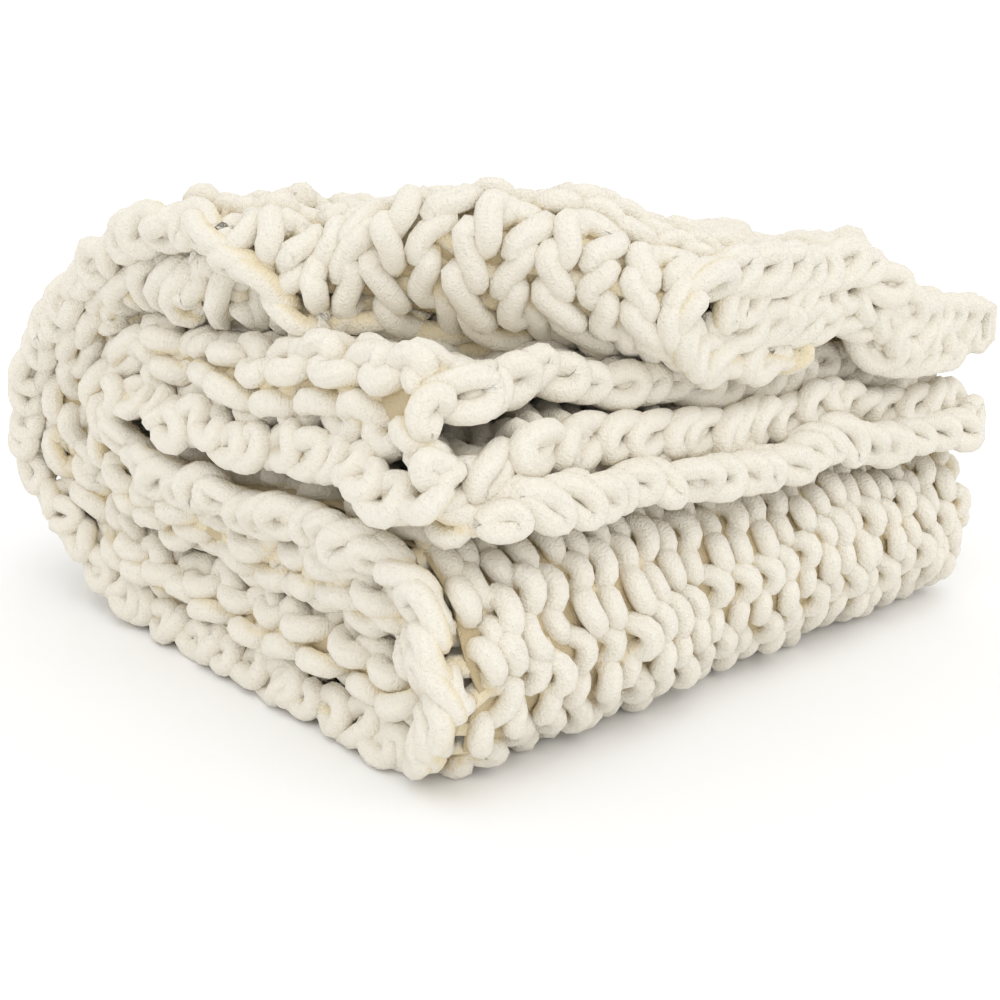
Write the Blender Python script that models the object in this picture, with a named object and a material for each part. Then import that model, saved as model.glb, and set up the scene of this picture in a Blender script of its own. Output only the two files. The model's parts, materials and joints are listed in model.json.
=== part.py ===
"""Chunky knit throw blanket, folded in thirds across and wound into a thick rectangular bundle.

The cloth is one sheet. Across its width it is folded in thirds, which gives a strip of three
layers. Along its length that strip runs from the top flap, round the back, forward under the
bundle, up round the front, back inside, and forward again to the stacked front edges.
Frame: X along the front of the bundle, the front faces -Y, +Z up. The origin is the centre of
the bundle's bounding box, at the surface that it lies on.
"""

import math

import bmesh
import bpy
import numpy as np

# Cloth and layers, metres
SHEET_THICKNESS = 0.0140
LAYER_PITCH = 0.0235
FOLD_LENGTH = 0.4450
BUNDLE_DEPTH = 0.4680
EDGE_OVERHANG = 0.0200
LAYERS_IN_STRIP = 3

# Places along the depth, metres
FLAP_FRONT = 0.0300
STACK_FRONT = 0.0200
STACK_SETBACK = 0.0185
INNER_TURN_CLEARANCE = 0.0060

# Heights across the strip, in layer pitches above its middle layer
OUTER_LAYER = 1.0
INNER_LAYER = -1.0
WRAP_CENTRE = -0.55
WRAP_RADIUS = 1.55

# The left side of the flap is turned under on a slant, straighter with a small ease
SLANT_SHIFT = 0.1780
SLANT_EASE = 0.3000
TUCK_MARGIN = 0.2
TUCK_CLEARANCE = 0.0150
TUCK_FADE = 0.0800
TUCK_DROP = 0.8

# The bundle narrows toward its right end, where its front is pressed down above the front turn
RIGHT_HEIGHT_SHARE = 0.815
RIGHT_DEPTH_SHARE = 0.91
PRESSED_SHARE = 0.82
PRESSED_START_X = 0.0000
PRESSED_REACH_Y = 0.2400

# The bundle is deepest low down, and the back curves forward above and below that height
BACK_CURVE = 3.4000
DEEPEST_Z = 0.0940

# The left end is drawn in where it meets the table
FOOT_PULL = 0.0100
FOOT_PULL_START_X = 0.1300
FOOT_PULL_HEIGHT = 0.0500

# The flap is pressed thin at its front edge, and fuller behind it on its left side
FLAP_FOOT_Z = 0.2100
FLAP_PRESSED_SHARE = 0.71
FLAP_PRESSED_REACH_Y = 0.1700
FLAP_SWELL = 0.0107
FLAP_SWELL_X = -0.1080
FLAP_SWELL_REACH = 0.1300
FLAP_SWELL_RISE = 0.0500

# The stack is fuller at its left end than the runs below it
STACK_SWELL = 0.0020
STACK_SWELL_MIDDLE = 0.2000
STACK_SWELL_REACH = 0.0600

# The stack's top sheet is raised at the left front corner
CORNER_LIFT = 0.0140
CORNER_REACH = 0.1000

# Unevenness of the soft folds: height and lengths in metres, phase in radians
BUMPS = (
    {"height": 0.0030, "across": 0.190, "deep": 0.230, "up": 0.310, "phase": 0.4},
    {"height": 0.0022, "across": 0.118, "deep": 0.149, "up": 0.170, "phase": 2.1},
    {"height": 0.0014, "across": 0.083, "deep": 0.091, "up": 0.120, "phase": 4.3},
)
BUMP_PHASE_DEEP = 1.7
BUMP_PHASE_UP = 2.3
BUMP_FOOT = 0.0500

# Grid steps across the cloth, a row for each stretch of the fold in thirds
ACROSS = (
    {"stretch": "outer sheet", "steps": 13},
    {"stretch": "right turn", "steps": 5},
    {"stretch": "middle sheet", "steps": 11},
    {"stretch": "left turn", "steps": 5},
    {"stretch": "inner sheet", "steps": 11},
)

# Grid steps along the strip, a row for each run or turn of the winding
ALONG = (
    {"run": "flap", "steps": 11},
    {"run": "back turn", "steps": 9},
    {"run": "bottom", "steps": 6},
    {"run": "front turn", "steps": 8},
    {"run": "middle", "steps": 6},
    {"run": "inner turn", "steps": 8},
    {"run": "stack", "steps": 7},
)
NORMAL_STEP = 1e-4

# Look of the yarn
CREAM = (0.86, 0.80, 0.68, 1.0)
YARN_ROUGHNESS = 0.95

# Places worked out from the sizes above
STRIP_HALF = 0.5 * LAYERS_IN_STRIP * LAYER_PITCH
BOTTOM_Z = STRIP_HALF
FRONT_TURN_Z = 2.0 * STRIP_HALF
MIDDLE_Z = 3.0 * STRIP_HALF
BACK_TURN_Z = 4.0 * STRIP_HALF
STACK_Z = 5.0 * STRIP_HALF
FLAP_Z = 7.0 * STRIP_HALF
BACK_TURN_RADIUS = BACK_TURN_Z - BOTTOM_Z
TURN_RADIUS = 0.5 * LAYER_PITCH
RIGHT_TURN_X = 0.5 * (FOLD_LENGTH - LAYER_PITCH - SHEET_THICKNESS)
LEFT_TURN_X = -RIGHT_TURN_X
OUTER_SHEET_LENGTH = RIGHT_TURN_X - LEFT_TURN_X + EDGE_OVERHANG
BACK_Y = BUNDLE_DEPTH - BACK_TURN_RADIUS - STRIP_HALF
FRONT_Y = 2.0 * STRIP_HALF
INNER_Y = BACK_Y - INNER_TURN_CLEARANCE
FOOT_Z = 0.5 * (LAYER_PITCH - SHEET_THICKNESS)


def clear_scene():
    for obj in list(bpy.data.objects):
        bpy.data.objects.remove(obj, do_unlink=True)


def smooth_ramp(value, low, high):
    """0 below low and 1 above high, with an even slope between them."""
    share = np.clip((value - low) / (high - low), 0.0, 1.0)
    return share * share * (3.0 - 2.0 * share)


def line_run(share, start_y, end_y, height, facing):
    """A level run of the strip: its place and the way that its outer side faces."""
    depth = start_y + (end_y - start_y) * share
    level = np.full_like(share, height)
    return depth, level, np.zeros_like(share), np.full_like(share, facing)


def turn_run(share, centre_y, centre_z, radius, start, end, facing):
    """A half turn of the strip about a line along X."""
    angle = start + (end - start) * share
    out_y = np.cos(angle)
    out_z = np.sin(angle)
    return centre_y + radius * out_y, centre_z + radius * out_z, facing * out_y, facing * out_z


def strip_place(along):
    """Depth, height and outer direction of the strip's middle, for a place in runs along it."""
    quarter = 0.5 * math.pi
    index = np.clip(np.floor(along), 0, len(ALONG) - 1)
    share = along - index
    runs = (
        line_run(share, FLAP_FRONT, BACK_Y, FLAP_Z, 1.0),
        turn_run(share, BACK_Y, BACK_TURN_Z, BACK_TURN_RADIUS, quarter, -quarter, 1.0),
        line_run(share, BACK_Y, FRONT_Y, BOTTOM_Z, -1.0),
        turn_run(share, FRONT_Y, FRONT_TURN_Z, STRIP_HALF, -quarter, -3.0 * quarter, 1.0),
        line_run(share, FRONT_Y, INNER_Y, MIDDLE_Z, 1.0),
        turn_run(share, INNER_Y, BACK_TURN_Z, STRIP_HALF, -quarter, quarter, -1.0),
        line_run(share, INNER_Y, STACK_FRONT, STACK_Z, -1.0),
    )
    chosen = [index == number for number in range(len(runs))]
    return [np.select(chosen, [run[item] for run in runs]) for item in range(4)]


def slant(along):
    """How far the left fold is shifted to the right in the flap, and its slope there."""
    back_share = np.clip(1.0 - along, 0.0, None)
    root = np.sqrt(back_share**2 + SLANT_EASE**2)
    whole = math.sqrt(1.0 + SLANT_EASE**2) - SLANT_EASE
    shift = SLANT_SHIFT * (root - SLANT_EASE) / whole
    slope = SLANT_SHIFT * back_share / root / whole / (BACK_Y - FLAP_FRONT)
    return shift, slope


def fold_place(across, shift, slope):
    """Place along X, layer height, and lift of the strip, for a place in stretches across it."""
    widen = np.sqrt(1.0 + slope**2)
    turn_x = LEFT_TURN_X + shift
    top_length = RIGHT_TURN_X - turn_x
    wrap_x = WRAP_RADIUS * LAYER_PITCH * widen
    wrap_length = 0.5 * math.pi * (WRAP_RADIUS * LAYER_PITCH + wrap_x)

    # The outer sheet runs left over the others, round their left turn and back under them
    past_top = (1.0 - across) * OUTER_SHEET_LENGTH - top_length
    wrap_angle = np.clip(past_top / wrap_length, 0.0, 1.0) * math.pi
    tucked = np.clip(past_top - wrap_length, 0.0, None)
    outer_x = turn_x - np.minimum(past_top, 0.0) - wrap_x * np.sin(wrap_angle) + tucked
    outer_layer = WRAP_CENTRE + WRAP_RADIUS * np.cos(wrap_angle)

    right_angle = math.pi * (across - 1.0)
    right_x = RIGHT_TURN_X + TURN_RADIUS * np.sin(right_angle)
    right_layer = 0.5 + 0.5 * np.cos(right_angle)
    middle_x = RIGHT_TURN_X - (across - 2.0) * top_length
    left_angle = math.pi * (across - 3.0)
    left_x = turn_x - TURN_RADIUS * widen * np.sin(left_angle)
    left_layer = -0.5 + 0.5 * np.cos(left_angle)
    inner_x = turn_x + (across - 4.0) * top_length

    stretch = np.clip(np.floor(across), 0, len(ACROSS) - 1)
    chosen = [stretch == number for number in range(len(ACROSS))]
    level = np.ones_like(across)
    place_x = np.select(chosen, [outer_x, right_x, middle_x, left_x, inner_x])
    layer = np.select(
        chosen, [outer_layer, right_layer, 0.0 * level, left_layer, INNER_LAYER * level]
    )

    # The flap rises by as much as its tucked edge needs, and less beyond the end of that edge
    edge_past = OUTER_SHEET_LENGTH - top_length
    edge_angle = np.clip(edge_past / wrap_length, 0.0, 1.0) * math.pi
    needed = TUCK_MARGIN - WRAP_CENTRE - 1.0 - WRAP_RADIUS * np.cos(edge_angle)
    tuck_end = turn_x + np.clip(edge_past - wrap_length, 0.0, None)
    fade_start = tuck_end + TUCK_CLEARANCE
    fade = 1.0 - TUCK_DROP * smooth_ramp(place_x, fade_start, fade_start + TUCK_FADE)
    lift = LAYER_PITCH * np.clip(needed, 0.0, 1.0 + TUCK_MARGIN) * fade
    return place_x, layer, lift


def resting(across, along):
    """The sheet's middle surface before the bundle settles unevenly."""
    across, along = np.broadcast_arrays(across, along)
    depth, height, out_y, out_z = strip_place(along)
    shift, slope = slant(along)
    place_x, layer, lift = fold_place(across, shift, slope)
    offset = layer * LAYER_PITCH
    corner = smooth_ramp(along, len(ALONG) - 1.0, len(ALONG)) * smooth_ramp(across, 3.0, 4.0)
    raised = CORNER_LIFT * corner * np.exp(-(((place_x - LEFT_TURN_X) / CORNER_REACH) ** 2))
    stack_share = np.clip(along - len(ALONG) + 1.0, 0.0, None)
    setback = STACK_SETBACK * (OUTER_LAYER - layer) * stack_share
    return np.stack(
        [place_x, depth + offset * out_y + setback, height + offset * out_z + lift + raised],
        axis=-1,
    )


def normals(across, along):
    """Unit normals of the middle surface."""
    step = NORMAL_STEP
    side = resting(across + step, along) - resting(across - step, along)
    ahead = resting(across, along + step) - resting(across, along - step)
    normal = np.cross(side, ahead)
    return normal / np.linalg.norm(normal, axis=-1, keepdims=True)


def settled(points):
    """The bundle as it lies: narrower to the right, leaning at the back, uneven, flat below."""
    x, y, z = points[..., 0], points[..., 1], points[..., 2] - FOOT_Z
    right = x / FOLD_LENGTH + 0.5
    lean = BACK_CURVE * (z - DEEPEST_Z) ** 2 * y / BACK_Y
    swell = STACK_SWELL * np.exp(-(((z - STACK_SWELL_MIDDLE) / STACK_SWELL_REACH) ** 2))
    swell = swell * smooth_ramp(-x, 0.0, 0.5 * FOLD_LENGTH)
    free = smooth_ramp(z, 0.0, BUMP_FOOT)
    out_x, out_y, out_z = np.zeros_like(x), np.zeros_like(y), np.zeros_like(z)
    for bump in BUMPS:
        wave_x = 2.0 * math.pi * x / bump["across"] + bump["phase"]
        wave_y = 2.0 * math.pi * y / bump["deep"] + BUMP_PHASE_DEEP * bump["phase"]
        wave_z = 2.0 * math.pi * z / bump["up"] + BUMP_PHASE_UP * bump["phase"]
        out_x += bump["height"] * np.sin(wave_y + wave_z)
        out_y += bump["height"] * np.sin(wave_x + wave_z)
        out_z += bump["height"] * np.sin(wave_x - wave_y)
    out_x = out_x * free + FOOT_PULL * (
        smooth_ramp(-x, FOOT_PULL_START_X, 0.5 * FOLD_LENGTH)
        * (1.0 - smooth_ramp(z, 0.0, FOOT_PULL_HEIGHT))
    )
    depth_share = 1.0 + (RIGHT_DEPTH_SHARE - 1.0) * right
    height_share = 1.0 + (RIGHT_HEIGHT_SHARE - 1.0) * right
    pressed = smooth_ramp(x, PRESSED_START_X, 0.5 * FOLD_LENGTH)
    pressed = (1.0 - PRESSED_SHARE) * pressed * smooth_ramp(-y, -PRESSED_REACH_Y, 0.0)
    squeeze = pressed * np.clip(z - BACK_TURN_Z, 0.0, None)
    at_front = smooth_ramp(-y, -FLAP_PRESSED_REACH_Y, -FLAP_FRONT)
    squeeze += (1.0 - FLAP_PRESSED_SHARE) * at_front * np.clip(z - FLAP_FOOT_Z, 0.0, None)
    fuller = FLAP_SWELL * np.exp(-(((x - FLAP_SWELL_X) / FLAP_SWELL_REACH) ** 2))
    swell += fuller * (1.0 - at_front) * smooth_ramp(z, FLAP_FOOT_Z, FLAP_FOOT_Z + FLAP_SWELL_RISE)
    return np.stack(
        [
            x + out_x,
            (y - lean) * depth_share + out_y * free,
            (z + swell - squeeze) * height_share + out_z * free,
        ],
        axis=-1,
    )


def grid_places(rows):
    """Places along the rows of a table, each row split into its steps."""
    places = []
    for number, row in enumerate(rows):
        places += [number + step / row["steps"] for step in range(row["steps"])]
    return np.array(places + [float(len(rows))])


def cloth_faces(across_count, along_count):
    """Quads of the two sides of the sheet and of its rim, as indices into both sides' points."""

    def index(side, i, j):
        return side * across_count * along_count + i * along_count + j

    faces = []
    for i in range(across_count - 1):
        for j in range(along_count - 1):
            corners = ((i, j), (i + 1, j), (i + 1, j + 1), (i, j + 1))
            faces.append([index(0, *corner) for corner in corners])
            faces.append([index(1, *corner) for corner in reversed(corners)])
    round_rim = [(i, 0) for i in range(across_count - 1)]
    round_rim += [(across_count - 1, j) for j in range(along_count - 1)]
    round_rim += [(i, along_count - 1) for i in range(across_count - 1, 0, -1)]
    round_rim += [(0, j) for j in range(along_count - 1, 0, -1)]
    for here, ahead in zip(round_rim, round_rim[1:] + round_rim[:1]):
        faces.append([index(0, *ahead), index(0, *here), index(1, *here), index(1, *ahead)])
    return faces


def cloth_points():
    """Points of both sides of the sheet, with the origin under the middle of their box."""
    across = grid_places(ACROSS)[:, None]
    along = grid_places(ALONG)[None, :]
    middle = resting(across, along)
    offset = 0.5 * SHEET_THICKNESS * normals(across, along)
    points = np.concatenate([settled(middle + offset), settled(middle - offset)])
    points = points.reshape(-1, 3)
    centre = 0.5 * (points.min(axis=0) + points.max(axis=0))
    return points - np.array([centre[0], centre[1], points[:, 2].min()])


def yarn_material():
    material = bpy.data.materials.new("cream_yarn")
    material.use_nodes = True
    shader = material.node_tree.nodes["Principled BSDF"]
    shader.inputs["Base Color"].default_value = CREAM
    shader.inputs["Roughness"].default_value = YARN_ROUGHNESS
    shader.inputs["Metallic"].default_value = 0.0
    return material


def build_blanket():
    mesh = bpy.data.meshes.new("knit_blanket")
    across_count = len(grid_places(ACROSS))
    along_count = len(grid_places(ALONG))
    mesh.from_pydata(cloth_points().tolist(), [], cloth_faces(across_count, along_count))
    shape = bmesh.new()
    shape.from_mesh(mesh)
    bmesh.ops.recalc_face_normals(shape, faces=shape.faces)
    shape.to_mesh(mesh)
    shape.free()
    mesh.shade_smooth()
    mesh.materials.append(yarn_material())
    blanket = bpy.data.objects.new("knit_blanket", mesh)
    bpy.context.scene.collection.objects.link(blanket)
    return blanket


def main():
    clear_scene()
    build_blanket()


main()
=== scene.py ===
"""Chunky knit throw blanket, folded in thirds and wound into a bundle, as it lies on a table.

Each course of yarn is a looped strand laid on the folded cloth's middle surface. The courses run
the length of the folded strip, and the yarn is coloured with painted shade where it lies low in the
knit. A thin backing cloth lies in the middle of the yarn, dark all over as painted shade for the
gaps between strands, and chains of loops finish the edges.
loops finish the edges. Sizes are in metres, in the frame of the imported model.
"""

import json
import math

import bpy
import numpy as np
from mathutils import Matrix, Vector

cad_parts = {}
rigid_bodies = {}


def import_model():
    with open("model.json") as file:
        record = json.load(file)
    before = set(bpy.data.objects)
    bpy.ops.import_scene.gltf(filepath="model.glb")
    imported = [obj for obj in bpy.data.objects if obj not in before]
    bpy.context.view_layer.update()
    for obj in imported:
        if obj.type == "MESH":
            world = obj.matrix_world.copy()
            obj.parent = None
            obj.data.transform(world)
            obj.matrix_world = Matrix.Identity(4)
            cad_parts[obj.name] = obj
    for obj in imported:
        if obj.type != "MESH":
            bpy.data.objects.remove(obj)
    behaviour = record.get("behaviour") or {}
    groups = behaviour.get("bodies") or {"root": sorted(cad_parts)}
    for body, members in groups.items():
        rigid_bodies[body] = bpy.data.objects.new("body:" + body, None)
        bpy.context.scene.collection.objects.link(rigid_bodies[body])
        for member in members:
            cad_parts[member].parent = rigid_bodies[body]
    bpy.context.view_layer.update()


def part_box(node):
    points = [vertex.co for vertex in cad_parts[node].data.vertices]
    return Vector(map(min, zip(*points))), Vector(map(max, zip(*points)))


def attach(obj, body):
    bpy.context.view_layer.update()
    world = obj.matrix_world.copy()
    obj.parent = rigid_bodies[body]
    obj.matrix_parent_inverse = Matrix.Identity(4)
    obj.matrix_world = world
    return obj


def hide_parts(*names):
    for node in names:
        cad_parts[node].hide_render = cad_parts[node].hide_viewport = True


bl_info = {
    "name": "Folded knit throw",
    "version": (1, 0, 0),
    "blender": (4, 5, 0),
    "location": "3D View > Sidebar > Knit Throw",
    "description": "Builds a chunky knit throw that is folded into a bundle",
    "category": "Add Mesh",
}

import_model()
NODE = "knit_blanket"
BODY = "root"
UV_NAME = "yarn"
PILE_GROUP = "chenille_pile"
COURSES_NAME = "yarn_courses"
EDGE_NAMES = ("stack_edge", "flap_edge", "side_edge")
GROUND_NAME = "ground_cloth"

# Cloth and layers, metres
SHEET_THICKNESS = 0.0140
LAYER_PITCH = 0.0235
FOLD_LENGTH = 0.4450
BUNDLE_DEPTH = 0.4680
EDGE_OVERHANG = 0.0200
LAYERS_IN_STRIP = 3

# Places along the depth, metres
FLAP_FRONT = 0.0300
STACK_FRONT = 0.0200
STACK_SETBACK = 0.0185
INNER_TURN_CLEARANCE = 0.0060

# Heights across the strip, in layer pitches above its middle layer
OUTER_LAYER = 1.0
INNER_LAYER = -1.0
WRAP_CENTRE = -0.55
WRAP_RADIUS = 1.55

# The left side of the flap is turned under on a slant, straighter with a small ease
SLANT_SHIFT = 0.1780
SLANT_EASE = 0.3000
TUCK_MARGIN = 0.2
TUCK_CLEARANCE = 0.0150
TUCK_FADE = 0.0800
TUCK_DROP = 0.8

# The bundle narrows toward its right end, where its front is pressed down above the front turn
RIGHT_HEIGHT_SHARE = 0.815
RIGHT_DEPTH_SHARE = 0.91
PRESSED_SHARE = 0.82
PRESSED_START_X = 0.0000
PRESSED_REACH_Y = 0.2400

# The bundle is deepest low down, and the back curves forward above and below that height
BACK_CURVE = 3.4000
DEEPEST_Z = 0.0940

# The left end is drawn in where it meets the table
FOOT_PULL = 0.0100
FOOT_PULL_START_X = 0.1300
FOOT_PULL_HEIGHT = 0.0500

# The flap is pressed thin at its front edge, and fuller behind it on its left side
FLAP_FOOT_Z = 0.2100
FLAP_PRESSED_SHARE = 0.71
FLAP_PRESSED_REACH_Y = 0.1700
FLAP_SWELL = 0.0107
FLAP_SWELL_X = -0.1080
FLAP_SWELL_REACH = 0.1300
FLAP_SWELL_RISE = 0.0500

# The stack is fuller at its left end than the runs below it
STACK_SWELL = 0.0020
STACK_SWELL_MIDDLE = 0.2000
STACK_SWELL_REACH = 0.0600

# The stack's top sheet is raised at the left front corner
CORNER_LIFT = 0.0140
CORNER_REACH = 0.1000

# Unevenness of the soft folds: height and lengths in metres, phase in radians
BUMPS = (
    {"height": 0.0030, "across": 0.190, "deep": 0.230, "up": 0.310, "phase": 0.4},
    {"height": 0.0022, "across": 0.118, "deep": 0.149, "up": 0.170, "phase": 2.1},
    {"height": 0.0014, "across": 0.083, "deep": 0.091, "up": 0.120, "phase": 4.3},
)
BUMP_PHASE_DEEP = 1.7
BUMP_PHASE_UP = 2.3
BUMP_FOOT = 0.0500
NORMAL_STEP = 1e-4

# Stretches across the cloth and runs along the strip, with the steps of the cloth's own mesh
ACROSS = (
    {"stretch": "outer sheet", "steps": 26},
    {"stretch": "right turn", "steps": 8},
    {"stretch": "middle sheet", "steps": 22},
    {"stretch": "left turn", "steps": 8},
    {"stretch": "inner sheet", "steps": 22},
)
ALONG = (
    {"run": "flap", "steps": 16},
    {"run": "back turn", "steps": 14},
    {"run": "bottom", "steps": 10},
    {"run": "front turn", "steps": 12},
    {"run": "middle", "steps": 10},
    {"run": "inner turn", "steps": 12},
    {"run": "stack", "steps": 12},
)

# Places worked out from the sizes above
STRIP_HALF = 0.5 * LAYERS_IN_STRIP * LAYER_PITCH
BOTTOM_Z = STRIP_HALF
FRONT_TURN_Z = 2.0 * STRIP_HALF
MIDDLE_Z = 3.0 * STRIP_HALF
BACK_TURN_Z = 4.0 * STRIP_HALF
STACK_Z = 5.0 * STRIP_HALF
FLAP_Z = 7.0 * STRIP_HALF
BACK_TURN_RADIUS = BACK_TURN_Z - BOTTOM_Z
TURN_RADIUS = 0.5 * LAYER_PITCH
RIGHT_TURN_X = 0.5 * (FOLD_LENGTH - LAYER_PITCH - SHEET_THICKNESS)
LEFT_TURN_X = -RIGHT_TURN_X
FULL_WIDTH = RIGHT_TURN_X - LEFT_TURN_X
OUTER_SHEET_LENGTH = FULL_WIDTH + EDGE_OVERHANG
BACK_Y = BUNDLE_DEPTH - BACK_TURN_RADIUS - STRIP_HALF
FRONT_Y = 2.0 * STRIP_HALF
INNER_Y = BACK_Y - INNER_TURN_CLEARANCE
FOOT_Z = 0.5 * (LAYER_PITCH - SHEET_THICKNESS)
TURN_LENGTH = math.pi * TURN_RADIUS

# First and last places on the cloth, and the middle of the front turn
FIRST_ACROSS = 0.0001
LAST_ACROSS = len(ACROSS) - 0.0001
FIRST_ALONG = 0.005
LAST_ALONG = len(ALONG) - 0.0001
FRONT_TURN_MIDDLE = 3.5

# Camera and light, in metres, millimetres of lens and radians
CAMERA_AZIMUTH = math.radians(-42.04)
CAMERA_ELEVATION = math.radians(18.09)
CAMERA_TARGET = (0.0200, 0.0205, 0.0527)
CAMERA_DISTANCE = 1.0974
CAMERA_LENS = 57.6
TOP_LIGHT_WIDTH = math.radians(60.0)
TOP_LIGHT_TURN = (math.radians(28.0), math.radians(-12.0), 0.0)


def smooth_ramp(value, low, high):
    """0 below low and 1 above high, with an even slope between them."""
    share = np.clip((value - low) / (high - low), 0.0, 1.0)
    return share * share * (3.0 - 2.0 * share)


def line_run(share, start_y, end_y, height, facing):
    """A level run of the strip: its place and the way that its outer side faces."""
    depth = start_y + (end_y - start_y) * share
    level = np.full_like(share, height)
    return depth, level, np.zeros_like(share), np.full_like(share, facing)


def turn_run(share, centre_y, centre_z, radius, start, end, facing):
    """A half turn of the strip about a line along X."""
    angle = start + (end - start) * share
    out_y = np.cos(angle)
    out_z = np.sin(angle)
    return centre_y + radius * out_y, centre_z + radius * out_z, facing * out_y, facing * out_z


def strip_place(along):
    """Depth, height and outer direction of the strip's middle, for a place in runs along it."""
    quarter = 0.5 * math.pi
    index = np.clip(np.floor(along), 0, len(ALONG) - 1)
    share = along - index
    runs = (
        line_run(share, FLAP_FRONT, BACK_Y, FLAP_Z, 1.0),
        turn_run(share, BACK_Y, BACK_TURN_Z, BACK_TURN_RADIUS, quarter, -quarter, 1.0),
        line_run(share, BACK_Y, FRONT_Y, BOTTOM_Z, -1.0),
        turn_run(share, FRONT_Y, FRONT_TURN_Z, STRIP_HALF, -quarter, -3.0 * quarter, 1.0),
        line_run(share, FRONT_Y, INNER_Y, MIDDLE_Z, 1.0),
        turn_run(share, INNER_Y, BACK_TURN_Z, STRIP_HALF, -quarter, quarter, -1.0),
        line_run(share, INNER_Y, STACK_FRONT, STACK_Z, -1.0),
    )
    chosen = [index == number for number in range(len(runs))]
    return [np.select(chosen, [run[item] for run in runs]) for item in range(4)]


def slant(along):
    """How far the left fold is shifted to the right in the flap, and its slope there."""
    back_share = np.clip(1.0 - along, 0.0, None)
    root = np.sqrt(back_share**2 + SLANT_EASE**2)
    whole = math.sqrt(1.0 + SLANT_EASE**2) - SLANT_EASE
    shift = SLANT_SHIFT * (root - SLANT_EASE) / whole
    slope = SLANT_SHIFT * back_share / root / whole / (BACK_Y - FLAP_FRONT)
    return shift, slope


def fold_place(across, shift, slope):
    """Place along X, layer height, and lift of the strip, for a place in stretches across it."""
    widen = np.sqrt(1.0 + slope**2)
    turn_x = LEFT_TURN_X + shift
    top_length = RIGHT_TURN_X - turn_x
    wrap_x = WRAP_RADIUS * LAYER_PITCH * widen
    wrap_length = 0.5 * math.pi * (WRAP_RADIUS * LAYER_PITCH + wrap_x)

    # The outer sheet runs left over the others, round their left turn and back under them
    past_top = (1.0 - across) * OUTER_SHEET_LENGTH - top_length
    wrap_angle = np.clip(past_top / wrap_length, 0.0, 1.0) * math.pi
    tucked = np.clip(past_top - wrap_length, 0.0, None)
    outer_x = turn_x - np.minimum(past_top, 0.0) - wrap_x * np.sin(wrap_angle) + tucked
    outer_layer = WRAP_CENTRE + WRAP_RADIUS * np.cos(wrap_angle)

    right_angle = math.pi * (across - 1.0)
    right_x = RIGHT_TURN_X + TURN_RADIUS * np.sin(right_angle)
    right_layer = 0.5 + 0.5 * np.cos(right_angle)
    middle_x = RIGHT_TURN_X - (across - 2.0) * top_length
    left_angle = math.pi * (across - 3.0)
    left_x = turn_x - TURN_RADIUS * widen * np.sin(left_angle)
    left_layer = -0.5 + 0.5 * np.cos(left_angle)
    inner_x = turn_x + (across - 4.0) * top_length

    stretch = np.clip(np.floor(across), 0, len(ACROSS) - 1)
    chosen = [stretch == number for number in range(len(ACROSS))]
    level = np.ones_like(across)
    place_x = np.select(chosen, [outer_x, right_x, middle_x, left_x, inner_x])
    layer = np.select(
        chosen, [outer_layer, right_layer, 0.0 * level, left_layer, INNER_LAYER * level]
    )

    # The flap rises by as much as its tucked edge needs, and less beyond the end of that edge
    edge_past = OUTER_SHEET_LENGTH - top_length
    edge_angle = np.clip(edge_past / wrap_length, 0.0, 1.0) * math.pi
    needed = TUCK_MARGIN - WRAP_CENTRE - 1.0 - WRAP_RADIUS * np.cos(edge_angle)
    tuck_end = turn_x + np.clip(edge_past - wrap_length, 0.0, None)
    fade_start = tuck_end + TUCK_CLEARANCE
    fade = 1.0 - TUCK_DROP * smooth_ramp(place_x, fade_start, fade_start + TUCK_FADE)
    lift = LAYER_PITCH * np.clip(needed, 0.0, 1.0 + TUCK_MARGIN) * fade
    return place_x, layer, lift


def resting(across, along):
    """The sheet's middle surface before the bundle settles unevenly."""
    across, along = np.broadcast_arrays(across, along)
    depth, height, out_y, out_z = strip_place(along)
    shift, slope = slant(along)
    place_x, layer, lift = fold_place(across, shift, slope)
    offset = layer * LAYER_PITCH
    corner = smooth_ramp(along, len(ALONG) - 1.0, len(ALONG)) * smooth_ramp(across, 3.0, 4.0)
    raised = CORNER_LIFT * corner * np.exp(-(((place_x - LEFT_TURN_X) / CORNER_REACH) ** 2))
    stack_share = np.clip(along - len(ALONG) + 1.0, 0.0, None)
    setback = STACK_SETBACK * (OUTER_LAYER - layer) * stack_share
    return np.stack(
        [place_x, depth + offset * out_y + setback, height + offset * out_z + lift + raised],
        axis=-1,
    )


def unit(vectors):
    return vectors / np.maximum(np.linalg.norm(vectors, axis=-1, keepdims=True), 1e-12)


def normals(across, along):
    """Unit normals of the middle surface."""
    step = NORMAL_STEP
    side = resting(across + step, along) - resting(across - step, along)
    ahead = resting(across, along + step) - resting(across, along - step)
    return unit(np.cross(side, ahead))


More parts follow.
